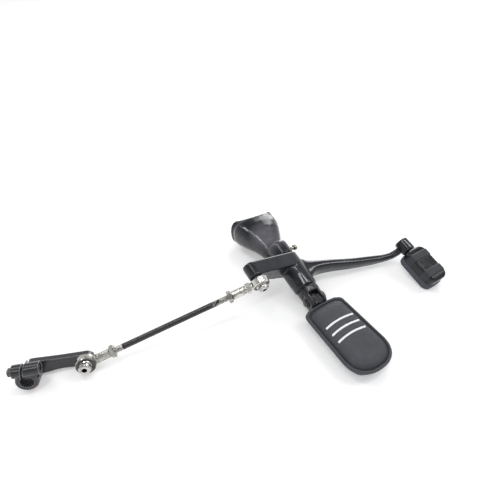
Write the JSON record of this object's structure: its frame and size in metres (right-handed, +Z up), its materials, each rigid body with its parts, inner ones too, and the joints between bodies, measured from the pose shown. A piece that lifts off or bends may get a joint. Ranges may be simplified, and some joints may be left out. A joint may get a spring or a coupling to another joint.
{
  "type": "motorcycle forward controls",
  "caption": "Left forward controls with support bracket, folding rubber footpeg, shift lever, and a rod with ball joints to a splined inner shift arm.",
  "frame": {"origin": "middle of the resting footprint, on the surface the part lies on", "axes": "+Z up as the part lies, +X along its greatest length from the splined arm towards the shifter peg, -Y towards the tip of the footpeg"},
  "size_m": [0.4931, 0.2574, 0.0662],
  "materials": {
    "gloss_black": "gloss",
    "satin_black": "satin",
    "black_rubber": "matte",
    "nickel_steel": "satin",
    "dark_steel": "satin",
    "bronze": "satin"
  },
  "bodies": {
    "bracket": {"support_bracket": "gloss_black", "lock_screw": "dark_steel", "lock_screw_nut": "nickel_steel", "thrust_washer": "dark_steel", "hub_spring_washer": "dark_steel", "footpeg_clevis": "satin_black", "clevis_pin": "dark_steel", "clevis_pin_ring": "dark_steel", "clevis_wave_washer": "dark_steel"},
    "lever": {"shift_lever": "gloss_black", "hub_bushing_inner": "bronze", "hub_bushing_outer": "bronze", "shifter_peg_core": "dark_steel", "shifter_peg_rubber": "black_rubber", "front_ball_bolt": "nickel_steel", "front_spacer": "dark_steel"},
    "front_ball_body": {"front_ball": "nickel_steel"},
    "rod": {"front_rod_end": "nickel_steel", "front_race": "dark_steel", "front_jam_nut": "nickel_steel", "shift_rod": "satin_black", "rear_jam_nut": "nickel_steel", "rear_rod_end": "nickel_steel", "rear_race": "dark_steel"},
    "rear_ball_body": {"rear_ball": "nickel_steel"},
    "inner_arm": {"inner_shift_arm": "satin_black", "pinch_bolt": "dark_steel", "rear_ball_bolt": "nickel_steel", "rear_spacer": "dark_steel"},
    "footpeg": {"footpeg_core": "satin_black", "footpeg_pad": "black_rubber", "pad_strip_1": "nickel_steel", "pad_strip_2": "nickel_steel", "pad_strip_3": "nickel_steel"}
  },
  "joints": [
    {"name": "lever_pivot", "type": "hinge", "parent": "bracket", "child": "lever", "pos_m": [0.04632, 0.02819, 0.02783], "axis": [0.5119, -0.8192, -0.2588], "range_deg": [-12, 25]},
    {"name": "front_ball_turn", "type": "hinge", "parent": "lever", "child": "front_ball_body", "pos_m": [0.00781, -0.0234, 0.05159], "axis": [0.5119, -0.8192, -0.2588], "range_deg": [-60, 60]},
    {"name": "front_ball_tilt", "type": "hinge", "parent": "front_ball_body", "child": "rod", "pos_m": [0.00781, -0.0234, 0.05159], "axis": [0.0598, 0.3345, -0.9405], "range_deg": [-18, 7]},
    {"name": "rear_ball_tilt", "type": "hinge", "parent": "rod", "child": "rear_ball_body", "pos_m": [-0.17755, -0.10215, 0.0118], "axis": [0.2965, -0.2296, -0.927], "range_deg": [-18, 7]},
    {"name": "rear_arm_turn", "type": "hinge", "parent": "rear_ball_body", "child": "inner_arm", "pos_m": [-0.17755, -0.10215, 0.0118], "axis": [0.2284, -0.9255, 0.3023], "range_deg": [-80, 80]},
    {"name": "footpeg_fold", "type": "hinge", "parent": "bracket", "child": "footpeg", "pos_m": [0.07465, -0.01715, 0.0135], "axis": [-0.848, -0.5299, 0], "range_deg": [-15, 60]}
  ]
}
